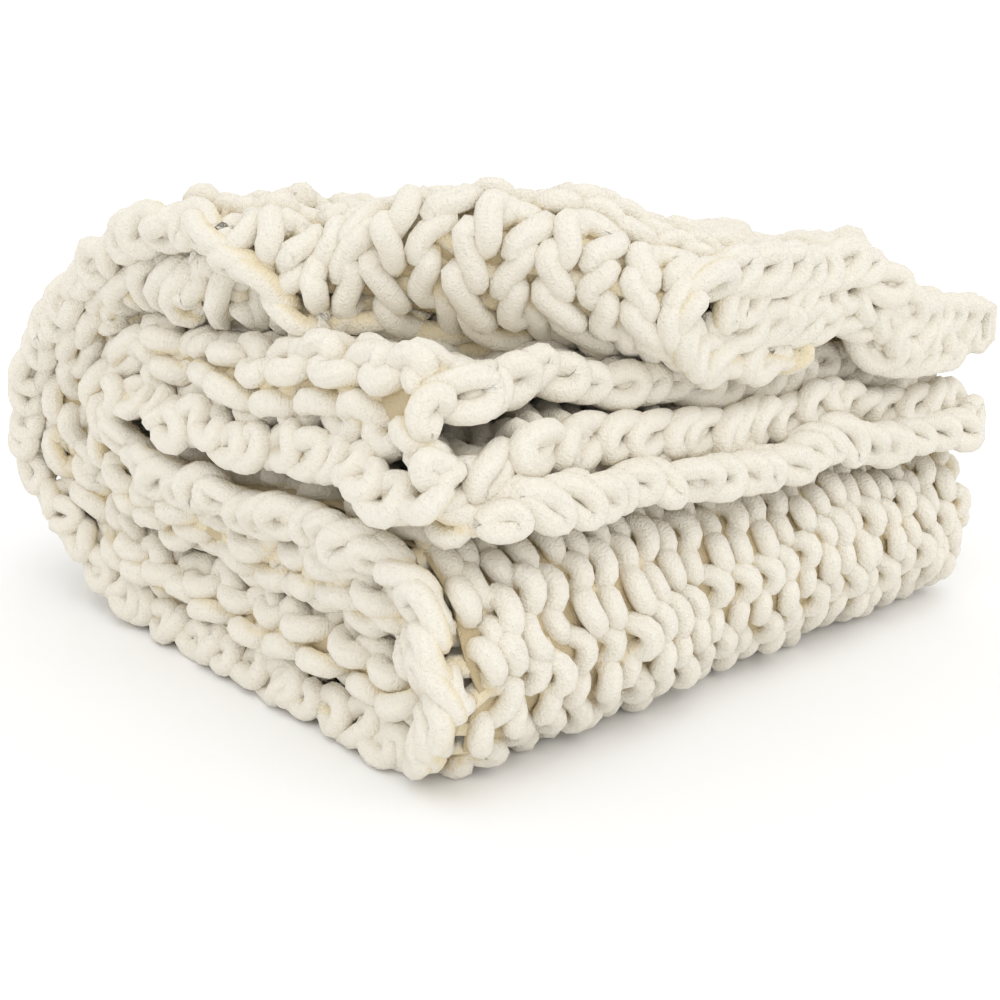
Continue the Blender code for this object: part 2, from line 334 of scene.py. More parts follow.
def settled(points):
    """The bundle as it lies: narrower to the right, leaning at the back, uneven, flat below."""
    x, y, z = points[..., 0], points[..., 1], points[..., 2] - FOOT_Z
    right = x / FOLD_LENGTH + 0.5
    lean = BACK_CURVE * (z - DEEPEST_Z) ** 2 * y / BACK_Y
    swell = STACK_SWELL * np.exp(-(((z - STACK_SWELL_MIDDLE) / STACK_SWELL_REACH) ** 2))
    swell = swell * smooth_ramp(-x, 0.0, 0.5 * FOLD_LENGTH)
    free = smooth_ramp(z, 0.0, BUMP_FOOT)
    out_x, out_y, out_z = np.zeros_like(x), np.zeros_like(y), np.zeros_like(z)
    for bump in BUMPS:
        wave_x = 2.0 * math.pi * x / bump["across"] + bump["phase"]
        wave_y = 2.0 * math.pi * y / bump["deep"] + BUMP_PHASE_DEEP * bump["phase"]
        wave_z = 2.0 * math.pi * z / bump["up"] + BUMP_PHASE_UP * bump["phase"]
        out_x += bump["height"] * np.sin(wave_y + wave_z)
        out_y += bump["height"] * np.sin(wave_x + wave_z)
        out_z += bump["height"] * np.sin(wave_x - wave_y)
    out_x = out_x * free + FOOT_PULL * (
        smooth_ramp(-x, FOOT_PULL_START_X, 0.5 * FOLD_LENGTH)
        * (1.0 - smooth_ramp(z, 0.0, FOOT_PULL_HEIGHT))
    )
    depth_share = 1.0 + (RIGHT_DEPTH_SHARE - 1.0) * right
    height_share = 1.0 + (RIGHT_HEIGHT_SHARE - 1.0) * right
    pressed = smooth_ramp(x, PRESSED_START_X, 0.5 * FOLD_LENGTH)
    pressed = (1.0 - PRESSED_SHARE) * pressed * smooth_ramp(-y, -PRESSED_REACH_Y, 0.0)
    squeeze = pressed * np.clip(z - BACK_TURN_Z, 0.0, None)
    at_front = smooth_ramp(-y, -FLAP_PRESSED_REACH_Y, -FLAP_FRONT)
    squeeze += (1.0 - FLAP_PRESSED_SHARE) * at_front * np.clip(z - FLAP_FOOT_Z, 0.0, None)
    fuller = FLAP_SWELL * np.exp(-(((x - FLAP_SWELL_X) / FLAP_SWELL_REACH) ** 2))
    swell += fuller * (1.0 - at_front) * smooth_ramp(z, FLAP_FOOT_Z, FLAP_FOOT_Z + FLAP_SWELL_RISE)
    return np.stack(
        [
            x + out_x,
            (y - lean) * depth_share + out_y * free,
            (z + swell - squeeze) * height_share + out_z * free,
        ],
        axis=-1,
    )


def grid_places(rows):
    """Places along the rows of a table, each row split into its steps."""
    places = []
    for number, row in enumerate(rows):
        places += [number + step / row["steps"] for step in range(row["steps"])]
    return np.array(places + [float(len(rows))])


def frame_shift():
    """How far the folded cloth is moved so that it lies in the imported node's box."""
    across = grid_places(ACROSS)[:, None]
    along = grid_places(ALONG)[None, :]
    middle = resting(across, along)
    offset = 0.5 * SHEET_THICKNESS * normals(across, along)
    points = np.concatenate([settled(middle + offset), settled(middle - offset)]).reshape(-1, 3)
    low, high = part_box(NODE)
    own_low, own_high = points.min(axis=0), points.max(axis=0)
    centre = 0.5 * (np.array(low) + np.array(high)) - 0.5 * (own_low + own_high)
    return np.array([centre[0], centre[1], low[2] - own_low[2]])


SHIFT = frame_shift()


# How the yarn's own coordinates lie on the folded cloth. FLAP_STRETCH is how much longer the
# slanted courses are in the flap than it is deep.
FLAP_STRETCH = 1.06
FLAP_FADE = (0.85, 1.15)
LAYER_BLEND = 0.0900

# The courses shift sideways at the front turn, between these distances across the cloth
ROLL_SKEW = 0.30
ROLL_SKEW_REACH = 0.9
ROLL_SKEW_GAIN = 1.6
ROLL_SKEW_START = (-EDGE_OVERHANG, 0.08)
ROLL_SKEW_END = (0.34, 0.44)

# The columns of stitches slant a little all over, and more on the flap's wall. The skew of the
# wall is in stitches, and one leg of each of its stitches stands out more than the other.
WALE_SKEW = 0.11
WALL_SKEW = 0.8
WALL_SKEW_REACH = 0.0300
WALL_REACH = 0.0200
WALL_LEG_LIFT = 0.0016
WALL_EVENNESS = 0.65

# Places across the cloth, in stretches, where its knit side starts and stops to show
KNIT_SIDE_START = (2.7, 3.1)
TURNED_START = (2.85, 3.05)
TURNED_END = (3.95, 4.15)

# Stitches. A strand bends sharply between the front and the back of the knit. Its ends are
# rounded, and fewer of its points are kept in the parts that no view reaches.
STITCHES = 43
LOOP_HEIGHT_STEP = 0.0006
LOOP_SWAY = 0.0042
KNIT_SIDE_SWAY = 0.0086
LOOP_SHARPNESS = 2.2
LOOP_BIAS = 0.25
COURSE_STEP = 0.0010
STITCH_STEPS = 28
STEP_CROWDING = 0.03
HIDDEN_STEPS = 4
PLUMPNESS = 0.03
YARN_SIDES = 8
EXTRA_COURSES = 9
COURSES_IN_PIECE = 11
RIGHT_YARN_SHARE = 0.93
KNIT_SIDE_YARN_SHARE = 1.08
SHORTEST_PIECE = 4
TIP_STEPS = 2.0
TIP_LEAST = 0.02
OUTWARD_STEP = 0.0020
UNDER_TABLE = 0.0040

# Parts of the cloth between other layers: ranges in stretches across it and in runs along it
HIDDEN_PARTS = (
    {"across": (2.12, 2.88), "along": (0.15, 6.85)},
    {"across": (4.12, 4.88), "along": (-1.0, 5.9)},
    {"across": (0.12, 0.88), "along": (4.15, 6.75)},
)

# Unevenness of each strand by itself, in shares or metres for one standard deviation
UNEVEN_HEIGHT = 0.07
UNEVEN_PLACE = 0.0010
UNEVEN_SPACING = 0.035
UNEVEN_LEVEL = 0.0008
UNEVEN_RADIUS = 0.04
LOOSE_STRAND = 0.0011

# Waves that loosen the whole knit, most of all at its left end
LOOSE_WAVES = ({"length": 0.0620, "height": 0.0030}, {"length": 0.0370, "height": 0.0016})
LOOSE_LEAST = 0.22
LOOSE_PHASES = (1.0, 2.0, 3.0)
LOOSE_START_X = 0.0900
LOOSE_FULL_X = 0.2000

# Loops along the edges of the cloth: sizes in metres, then how uneven they are in shares
EDGE_LOOPS = {
    "lower": {"pitch": 0.0195, "length": 0.0240, "half": 0.0062, "lean": -0.0035},
    "middle": {"pitch": 0.0200, "length": 0.0300, "half": 0.0074, "lean": 0.0030},
    "upper": {"pitch": 0.0195, "length": 0.0260, "half": 0.0062, "lean": 0.0030},
    "side": {"pitch": 0.0205, "length": 0.0300, "half": 0.0074, "lean": 0.0030},
}
LOOP_RISE = 0.0042
LOOP_NARROWING = 0.45
UNEVEN_TURN = 0.22
UNEVEN_SIZE = 0.12
UNEVEN_SHIFT = 0.10
UNEVEN_LEAN = 0.50
EDGE_STEPS = 20
EDGE_OUT = 0.0040
INWARD_STEP = 0.01
LINE_STEPS_PER_RUN = 110

# Stretches across the stack's front edge that each kind of loop covers, and the flap's edge
STACK_EDGES = ((0.06, 1.5, "lower"), (1.5, 3.5, "middle"), (3.5, 4.98, "upper"))
FLAP_EDGE = (0.02, 4.98)
SIDE_EDGE_ACROSS = 0.002

# Ground cloth: thickness in metres, and how far it stops short of the edges in stretches and runs
GROUND_THICKNESS = 0.0016
GROUND_INSET = 0.03

# Looks of the yarn: weights of the ribs and of the pale mottle, a random tone that also paints
# light since it shows only on raised parts, how the ribs wander, and the height of a point out of
# the knit below which it is painted with shade
RIB_WEIGHT = 0.05
RIB_WANDER = 3.0
PALE_SHARE = 0.45
SHADE_FREE_HEIGHT = 0.5
YARN_SPECULAR = 0.15
SHEEN_ROUGHNESS = 0.55
SHEEN_TINT = (1.0, 0.97, 0.91, 1.0)
PILE_DEPTH = 0.0020

SEED = 7


def run_lengths(layer):
    """Lengths of the runs of the strip at a height in layers, as a list."""
    step = LAYER_PITCH * layer
    level = np.zeros_like(step)
    return [
        (BACK_Y - FLAP_FRONT) * FLAP_STRETCH + level,
        math.pi * (BACK_TURN_RADIUS + step),
        BACK_Y - FRONT_Y + level,
        math.pi * (STRIP_HALF + step),
        INNER_Y - FRONT_Y + level,
        math.pi * (STRIP_HALF - step),
        INNER_Y - STACK_FRONT - STACK_SETBACK * (OUTER_LAYER - layer),
    ]


def blended_layer(place):
    """Layer height at a distance from the wall's top line, eased over the turns."""
    right = FULL_WIDTH + 0.5 * TURN_LENGTH
    left = right + FULL_WIDTH + TURN_LENGTH
    first = smooth_ramp(place, right - LAYER_BLEND, right + LAYER_BLEND)
    second = smooth_ramp(place, left - LAYER_BLEND, left + LAYER_BLEND)
    return 1.0 - first - second


def along_at(share, place):
    """Place in runs for a share of a course's whole length, at a distance across the cloth."""
    lengths = run_lengths(blended_layer(place))
    target = share * sum(lengths)
    along = np.zeros_like(target)
    start = np.zeros_like(target)
    for number, length in enumerate(lengths):
        along = np.where(target >= start, number + (target - start) / length, along)
        start = start + length
    return along


def across_at(place, along):
    """Place in stretches for a distance from the wall's top line, and whether it is on cloth."""
    shift, slope = slant(along)
    top_length = FULL_WIDTH - shift
    far = place * np.sqrt(1.0 + slope**2)
    outer = 1.0 - (top_length - far) / OUTER_SHEET_LENGTH
    past_top = far - top_length
    right = 1.0 + past_top / TURN_LENGTH
    past_right = past_top - TURN_LENGTH
    middle = 2.0 + past_right / top_length
    past_middle = past_right - top_length
    left = 3.0 + past_middle / TURN_LENGTH
    inner = 4.0 + (past_middle - TURN_LENGTH) / top_length
    before = [far < top_length, right < 2.0, middle < 3.0, left < 4.0]
    across = np.select(before, [outer, right, middle, left], inner)
    return across, (far > -EDGE_OVERHANG - shift) & (across < len(ACROSS))


def loosened(points):
    """Points moved by the waves that loosen the knit, more toward its left end."""
    x, y, z = points[..., 0], points[..., 1], points[..., 2]
    amount = LOOSE_LEAST + (1.0 - LOOSE_LEAST) * smooth_ramp(-x, LOOSE_START_X, LOOSE_FULL_X)
    moved = np.zeros_like(points)
    for wave in LOOSE_WAVES:
        turn = 2.0 * math.pi / wave["length"]
        moved[..., 0] += wave["height"] * np.sin(turn * y + LOOSE_PHASES[0]) * np.cos(turn * z)
        moved[..., 1] += wave["height"] * np.sin(turn * z + LOOSE_PHASES[1]) * np.cos(turn * x)
        moved[..., 2] += wave["height"] * np.sin(turn * x + LOOSE_PHASES[2]) * np.cos(turn * y)
    return points + moved * amount[..., None]


def on_cloth(across, along, height):
    """Points at a height above the middle surface, in the model's frame."""
    middle = resting(across, along)
    out = normals(across, along)
    return loosened(settled(middle + height[..., None] * out)) + SHIFT


def grounded(points):
    """Points with the yarn pressed flat where it lies on the table."""
    z = points[..., 2]
    pressed = UNDER_TABLE * np.exp(np.minimum(z / UNDER_TABLE - 1.0, 0.0))
    level = np.where(z < UNDER_TABLE, pressed, z)
    return np.concatenate([points[..., :2], level[..., None]], axis=-1)


def ring_angles():
    return 2.0 * math.pi * np.arange(YARN_SIDES) / YARN_SIDES


def tube(centres, outward, radius, closed):
    """Rings of points round a strand, given its middle line and a direction beside it."""
    if closed:
        ahead = unit(np.roll(centres, -1, axis=0) - np.roll(centres, 1, axis=0))
    else:
        ahead = unit(np.gradient(centres, axis=0))
    side = unit(np.cross(ahead, outward))
    up = np.cross(side, ahead)
    angle = ring_angles()[None, :, None]
    ring = np.cos(angle) * side[:, None, :] + np.sin(angle) * up[:, None, :]
    return centres[:, None, :] + radius[:, None, None] * ring


def mesh_object(name, points, faces, uvs, material):
    """An object of four-sided faces, with a UV corner for each corner of each face."""
    mesh = bpy.data.meshes.new(name)
    mesh.vertices.add(len(points))
    mesh.vertices.foreach_set("co", points.ravel())
    mesh.loops.add(faces.size)
    mesh.loops.foreach_set("vertex_index", faces.ravel().astype(np.int32))
    mesh.polygons.add(len(faces))
    mesh.polygons.foreach_set("loop_start", np.arange(0, faces.size, 4, dtype=np.int32))
    layer = mesh.uv_layers.new(name=UV_NAME)
    layer.data.foreach_set("uv", uvs.ravel())
    mesh.update(calc_edges=True)
    mesh.validate()
    mesh.shade_smooth()
    mesh.materials.append(material)
    made = bpy.data.objects.new(name, mesh)
    bpy.context.scene.collection.objects.link(made)
    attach(made, BODY)
    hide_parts(NODE)
    return made


class Strands:
    """Collects strands of yarn and makes one mesh of them.

    The UV map holds the length along a strand, and how far a point stands out of the knit; the
    material paints shade where that is low.
    """

    def __init__(self):
        self.points, self.faces, self.uvs, self.count = [], [], [], 0

    def add(self, centres, outward, radius, shares, closed=False):
        steps = len(centres)
        rings = grounded(tube(centres, outward, radius, closed))
        ends = np.vstack([centres, centres[:1]])
        length = np.concatenate([[0.0], np.cumsum(np.linalg.norm(np.diff(ends, axis=0), axis=1))])
        i = np.arange(steps if closed else steps - 1)[:, None]
        j = np.arange(YARN_SIDES)[None, :]
        rows = (i, (i + 1) % steps, (i + 1) % steps, i)
        columns = (j, j, (j + 1) % YARN_SIDES, (j + 1) % YARN_SIDES)
        corners = [row * YARN_SIDES + column for row, column in zip(rows, columns)]
        quads = np.stack(np.broadcast_arrays(*corners), axis=-1).reshape(-1, 4)
        starts = np.broadcast_to(length[i], (len(i), YARN_SIDES))
        stops = np.broadcast_to(length[i + 1], (len(i), YARN_SIDES))
        reach = np.stack([starts, stops, stops, starts], axis=-1).reshape(-1, 4)
        if not closed:
            caps = np.array([[0, 1, 2, 3], [0, 3, 4, 7], [4, 5, 6, 7]])
            quads = np.vstack([quads, caps, (steps - 1) * YARN_SIDES + caps[:, ::-1]])
            reach = np.vstack([reach, np.zeros((3, 4)), np.full((3, 4), length[steps - 1])])
        self.points.append(rings.reshape(-1, 3))
        self.faces.append(quads + self.count)
        self.uvs.append(np.stack([reach, shares.ravel()[quads]], axis=-1))
        self.count += steps * YARN_SIDES

    def build(self, name, material):
        points, faces = np.concatenate(self.points), np.concatenate(self.faces)
        return mesh_object(name, points, faces, np.concatenate(self.uvs), material)


def roll_skew(along):
    """How far courses shift to the right at the front turn, as they lie on a slant there."""
    off = along - FRONT_TURN_MIDDLE
    reach = ROLL_SKEW * ROLL_SKEW_GAIN * math.pi * STRIP_HALF
    return -reach * off * np.exp(-((off / ROLL_SKEW_REACH) ** 2))


def out_of_sight(across, along):
    """Where the knit lies between other layers, so that fewer points are enough."""
    hidden = np.zeros(across.shape, dtype=bool)
    for part in HIDDEN_PARTS:
        inside = (across > part["across"][0]) & (across < part["across"][1])
        hidden |= inside & (along > part["along"][0]) & (along < part["along"][1])
    return hidden


def wandering(draw, index):
    """Seeded values of about one, that change smoothly from stitch to stitch."""
    knots = np.arange(STITCHES + 2)
    return np.interp(index, knots, draw.normal(0.0, 1.0, STITCHES + 2))


def course(number, sizes, draw, strands):
    """One course of yarn, from the flap's front edge to the stack's front edge."""
    base = (number - EXTRA_COURSES) * sizes.course_pitch - EDGE_OVERHANG + 0.5 * sizes.loop_height
    t = np.linspace(0.0, 2.0 * math.pi * STITCHES, STITCH_STEPS * STITCHES + 1)
    t = t + STEP_CROWDING * np.sin(4.0 * t)
    index = t / (2.0 * math.pi)
    taller, aside, spaced, deeper, thicker = [wandering(draw, index) for _ in range(5)]
    loose = np.stack([wandering(draw, index) for _ in range(3)], axis=-1)
    odd = 2.0 * (number % 2) - 1.0
    height = (sizes.loop_height + odd * LOOP_HEIGHT_STEP) * (1.0 + UNEVEN_HEIGHT * taller)
    place = base + 0.5 * height * np.cos(t)

    # The knit side shows on the flap's wall, at the left turn and on the inner sheet
    rough_along = np.clip(along_at(index / STITCHES, place), 0.0, LAST_ALONG)
    rough_across = across_at(place, rough_along)[0]
    flap = 1.0 - smooth_ramp(rough_along, *FLAP_FADE)
    wall = smooth_ramp(-place, 0.0, WALL_REACH) * flap
    knit_side = np.maximum(wall, smooth_ramp(rough_across, *KNIT_SIDE_START))
    sway = LOOP_SWAY + (KNIT_SIDE_SWAY - LOOP_SWAY) * knit_side
    uneven = 1.0 - WALL_EVENNESS * wall
    place = place + UNEVEN_PLACE * uneven * aside
    stitch = index + sway / sizes.stitch_width * np.sin(2.0 * t)
    stitch = stitch + UNEVEN_SPACING * uneven * spaced
    stitch = stitch + WALE_SKEW * place / sizes.stitch_width
    down_wall = 1.0 - np.exp(np.minimum(place, 0.0) / WALL_SKEW_REACH)
    stitch = stitch - WALL_SKEW * down_wall * flap
    between = smooth_ramp(place, *ROLL_SKEW_START) * (1.0 - smooth_ramp(place, *ROLL_SKEW_END))
    place = place + roll_skew(rough_along) * between
    along = along_at(stitch / STITCHES, place)
    inside = (along >= 0.0) & (along <= len(ALONG))
    along = np.clip(along, 0.0, LAST_ALONG)
    across = np.clip(across_at(place, along)[0], FIRST_ACROSS, LAST_ACROSS)
    on = across_at(np.full_like(along, base), along)[1] & inside

    front = np.tanh(LOOP_SHARPNESS * (np.cos(2.0 * t) - LOOP_BIAS))
    turned = smooth_ramp(rough_across, *TURNED_START)
    turned = turned * (1.0 - smooth_ramp(rough_across, *TURNED_END))
    level = sizes.loop_depth * (1.0 - 2.0 * np.maximum(wall, turned)) * front
    level = level - odd * COURSE_STEP + UNEVEN_LEVEL * deeper
    level = level + WALL_LEG_LIFT * wall * np.sin(t)
    centres = on_cloth(across, along, level)
    outward = on_cloth(across, along, level + OUTWARD_STEP) - centres
    left_end = smooth_ramp(-centres[:, 0], LOOSE_START_X, LOOSE_FULL_X)
    centres = centres + (LOOSE_STRAND * uneven * (1.0 + left_end))[:, None] * loose
    right = np.clip(centres[:, 0] / FOLD_LENGTH + 0.5, 0.0, 1.0)
    radius = sizes.yarn_radius * (1.0 + (RIGHT_YARN_SHARE - 1.0) * right)
    radius = radius * (1.0 + (KNIT_SIDE_YARN_SHARE - 1.0) * knit_side + UNEVEN_RADIUS * thicker)
    radius = radius * (1.0 + PLUMPNESS * front)
    # How far each side of the strand stands out of the knit; the material paints shade where this
    # is low
    crest = sizes.loop_depth + sizes.yarn_radius
    shares = np.abs(level[:, None] + radius[:, None] * np.sin(ring_angles())) / crest
    hidden = out_of_sight(across, along) & (np.arange(len(t)) % HIDDEN_STEPS > 0)

    change = np.flatnonzero(np.diff(np.concatenate([[False], on, [False]]).astype(int)))
    for start, stop in zip(change[::2], change[1::2]):
        if stop - start > SHORTEST_PIECE:
            steps = np.arange(stop - start)
            nearest = np.minimum(steps, steps[::-1])
            tips = np.sqrt(np.clip((nearest + TIP_LEAST) / TIP_STEPS, 0.0, 1.0))
            kept = ~hidden[start:stop] | (nearest <= TIP_STEPS)
            piece = np.arange(start, stop)[kept]
            strands.add(centres[piece], outward[piece], radius[piece] * tips[kept], shares[piece])


def edge_loops(line, facing, kind, sizes, draw, strands):
    """Loops linked along an edge: line is their middle line, and facing is the way out of it."""
    loops = EDGE_LOOPS[kind]
    gaps = np.linalg.norm(np.diff(line, axis=0), axis=1)
    reach = np.concatenate([[0.0], np.cumsum(gaps)])
    facing = unit(facing)
    ahead = unit(np.gradient(line, axis=0))
    wide = unit(np.cross(facing, ahead))
    facing = np.cross(ahead, wide)
    t = 2.0 * math.pi * np.arange(EDGE_STEPS) / EDGE_STEPS
    count = int(reach[-1] / loops["pitch"])
    for link in range(count):
        size = 1.0 + UNEVEN_SIZE * draw.normal()
        turn = UNEVEN_TURN * draw.normal()
        shift = UNEVEN_SHIFT * loops["pitch"] * draw.normal()
        along = link * loops["pitch"] + 0.5 * loops["length"] * size * (1.0 - np.cos(t)) + shift
        along = along * reach[-1] / (count * loops["pitch"] + loops["length"] - loops["pitch"])
        along = np.clip(along, 0.0, reach[-1])
        place, out, side = [
            np.stack([np.interp(along, reach, track[:, item]) for item in range(3)], axis=-1)
            for track in (line, facing, wide)
        ]
        half = loops["half"] * size * np.sin(t) * (1.0 - LOOP_NARROWING * np.cos(t))
        rise = -LOOP_RISE * np.cos(t) + turn * half
        half = half - loops["lean"] * np.cos(t) * (1.0 + UNEVEN_LEAN * draw.normal())
        centres = place + half[:, None] * unit(side) + rise[:, None] * unit(out)
        radius = np.full(EDGE_STEPS, sizes.yarn_radius * (1.0 + UNEVEN_RADIUS * draw.normal()))
        # Painted shade: the inner side of each loop, toward its hole, takes the deep colour
        unshaded_share = 0.5 + 0.5 * np.sin(ring_angles())
        strands.add(centres, out, radius, np.tile(unshaded_share, (EDGE_STEPS, 1)), closed=True)


def edge_line(across, along, step_across, step_along):
    """A line just outside the cloth's edge and the way out there, given a step back inward."""
    level = np.zeros_like(across)
    line = on_cloth(across, along, level)
    inside = on_cloth(across + step_across, along + step_along, level)
    out = unit(line - inside)
    return line + EDGE_OUT * out, out


def ground_faces(rows, columns):
    """Faces of a thin closed sheet of rows by columns of points, its lower side after its upper."""
    i = np.arange(rows - 1)[:, None]
    j = np.arange(columns - 1)[None, :]
    upper = [i * columns + j, (i + 1) * columns + j, (i + 1) * columns + j + 1, i * columns + j + 1]
    upper = np.stack(np.broadcast_arrays(*upper), axis=-1).reshape(-1, 4)
    under = upper[:, ::-1] + rows * columns
    rim = list(range(columns))
    rim += [i * columns + columns - 1 for i in range(1, rows)]
    rim += [(rows - 1) * columns + j for j in range(columns - 2, -1, -1)]
    rim += [i * columns for i in range(rows - 2, 0, -1)]
    rim = np.array(rim)
    ahead = np.roll(rim, -1)
    sides = np.stack([rim, ahead, ahead + rows * columns, rim + rows * columns], axis=-1)
    return np.vstack([upper, under, sides])


def add_socket(group, name, kind, way, value=None):
    """A named input or output of a node group."""
    socket = group.interface.new_socket(name=name, in_out=way, socket_type=kind)
    if value is not None:
        socket.default_value = value


def chenille_group():
    """Shader node group of the yarn: its colour, its pile's height, and painted light and shade.

    The colour is mixed toward the deep colour as painted shade where the yarn lies low in the knit,
    and a pale mottle of random tone shows only on the raised parts, where it also paints light.
    """
    group = bpy.data.node_groups.new(PILE_GROUP, "ShaderNodeTree")
    add_socket(group, "Cream", "NodeSocketColor", "INPUT", (0.9, 0.86, 0.76, 1.0))
    add_socket(group, "Pale", "NodeSocketColor", "INPUT", (0.95, 0.93, 0.87, 1.0))
    add_socket(group, "Deep", "NodeSocketColor", "INPUT", (0.6, 0.5, 0.3, 1.0))
    add_socket(group, "Rib Pitch", "NodeSocketFloat", "INPUT", 0.0016)
    add_socket(group, "Pile Size", "NodeSocketFloat", "INPUT", 0.0015)
    add_socket(group, "Patch Size", "NodeSocketFloat", "INPUT", 0.02)
    add_socket(group, "Color", "NodeSocketColor", "OUTPUT")
    add_socket(group, "Height", "NodeSocketFloat", "OUTPUT")
    nodes, links = group.nodes, group.links

    def node(kind, **settings):
        made = nodes.new(kind)
        for name, value in settings.items():
            setattr(made, name, value)
        return made

    def math_node(operation, *values):
        made = node("ShaderNodeMath", operation=operation)
        for socket, value in zip(made.inputs, values):
            if isinstance(value, (int, float)):
                socket.default_value = value
            else:
                links.new(value, socket)
        return made.outputs["Value"]

    def mix_node(share, first, second):
        made = node("ShaderNodeMix", data_type="RGBA")
        shown = {socket.name: socket for socket in made.inputs if socket.enabled}
        for name, value in (("Factor", share), ("A", first), ("B", second)):
            links.new(value, shown[name])
        return next(socket for socket in made.outputs if socket.enabled)

    given = node("NodeGroupInput").outputs
    place = node("ShaderNodeTexCoord").outputs["Object"]
    yarn = node("ShaderNodeSeparateXYZ")
    links.new(node("ShaderNodeUVMap", uv_map=UV_NAME).outputs["UV"], yarn.inputs["Vector"])

    def noise(size, detail):
        made = node("ShaderNodeTexNoise")
        links.new(place, made.inputs["Vector"])
        links.new(math_node("DIVIDE", 1.0, size), made.inputs["Scale"])
        made.inputs["Detail"].default_value = detail
        return made.outputs["Fac"]

    pile = noise(given["Pile Size"], 2.0)
    patch = noise(given["Patch Size"], 3.0)
    turns = math_node("DIVIDE", yarn.outputs["X"], given["Rib Pitch"])
    turns = math_node("ADD", turns, math_node("MULTIPLY", patch, RIB_WANDER))
    rib = math_node("SINE", math_node("MULTIPLY", turns, 2.0 * math.pi))
    height = math_node("ADD", math_node("MULTIPLY", rib, RIB_WEIGHT), pile)

    # Painted shade: yarn that lies low in the knit is mixed toward the deep colour
    unshaded_share = node("ShaderNodeMapRange", interpolation_type="SMOOTHSTEP")
    links.new(yarn.outputs["Y"], unshaded_share.inputs["Value"])
    unshaded_share.inputs["From Min"].default_value = 0.0
    unshaded_share.inputs["From Max"].default_value = SHADE_FREE_HEIGHT
    depth = mix_node(unshaded_share.outputs["Result"], given["Deep"], given["Cream"])
    # Pale mottle: random tone, shown only on the raised parts, so it also paints light there
    pale_mottle_light = math_node("MULTIPLY", math_node("ADD", patch, pile), unshaded_share.outputs["Result"])
    colour = mix_node(math_node("MULTIPLY", pale_mottle_light, PALE_SHARE), depth, given["Pale"])
    result = node("NodeGroupOutput").inputs
    links.new(colour, result["Color"])
    links.new(height, result["Height"])
    return group


def chenille_material(name, colours, cream, deep):
    """Plush yarn: matt, with fine ribs and a short pile."""
    material = bpy.data.materials.new(name)
    material.use_nodes = True
    nodes, links = material.node_tree.nodes, material.node_tree.links
    shader = nodes["Principled BSDF"]
    shader.inputs["Roughness"].default_value = colours.roughness
    shader.inputs["Specular IOR Level"].default_value = YARN_SPECULAR
    shader.inputs["Sheen Weight"].default_value = colours.sheen
    shader.inputs["Sheen Roughness"].default_value = SHEEN_ROUGHNESS
    shader.inputs["Sheen Tint"].default_value = SHEEN_TINT
    pile = nodes.new("ShaderNodeGroup")
    pile.node_tree = bpy.data.node_groups.get(PILE_GROUP) or chenille_group()
    pile.inputs["Cream"].default_value = (*cream, 1.0)
    pile.inputs["Pale"].default_value = (*colours.pale, 1.0)
    # The deep colour is painted shade, for the yarn that lies low in the knit
    pile.inputs["Deep"].default_value = (*deep, 1.0)
    bump = nodes.new("ShaderNodeBump")
    bump.inputs["Strength"].default_value = colours.pile_strength
    bump.inputs["Distance"].default_value = PILE_DEPTH
    links.new(pile.outputs["Color"], shader.inputs["Base Color"])
    links.new(pile.outputs["Height"], bump.inputs["Height"])
    links.new(bump.outputs["Normal"], shader.inputs["Normal"])
    return material


def yarn_material(colours):
    """The yarn's material, made once."""
    known = bpy.data.materials.get("cream_chenille")
    return known or chenille_material("cream_chenille", colours, colours.cream, colours.deep)


class KnitThrowSizes(bpy.types.PropertyGroup):
    """Sizes of the yarn and its stitches"""

    yarn_radius: bpy.props.FloatProperty(
        name="Yarn Radius",
        description="Half the thickness of the plush yarn",
        default=0.0067,
        min=0.002,
        max=0.012,
        precision=4,
        subtype="DISTANCE",
        unit="LENGTH",
    )
    course_pitch: bpy.props.FloatProperty(
        name="Course Pitch",
        description="Distance from one course of stitches to the next",
        default=0.0183,
        min=0.010,
        max=0.040,
        precision=4,
        subtype="DISTANCE",
        unit="LENGTH",
    )
    stitch_width: bpy.props.FloatProperty(
        name="Stitch Width",
        description="Width of one stitch along its course",
        default=0.0392,
        min=0.020,
        max=0.080,
        precision=4,
        subtype="DISTANCE",
        unit="LENGTH",
    )
    loop_height: bpy.props.FloatProperty(
        name="Loop Height",
        description="Height of a loop of yarn across its course",
        default=0.0283,
        min=0.015,
        max=0.060,
        precision=4,
        subtype="DISTANCE",
        unit="LENGTH",
    )
    loop_depth: bpy.props.FloatProperty(
        name="Loop Depth",
        description="How far a loop stands out of the middle of the knit",
        default=0.0060,
        min=0.002,
        max=0.012,
        precision=4,
        subtype="DISTANCE",
        unit="LENGTH",
    )


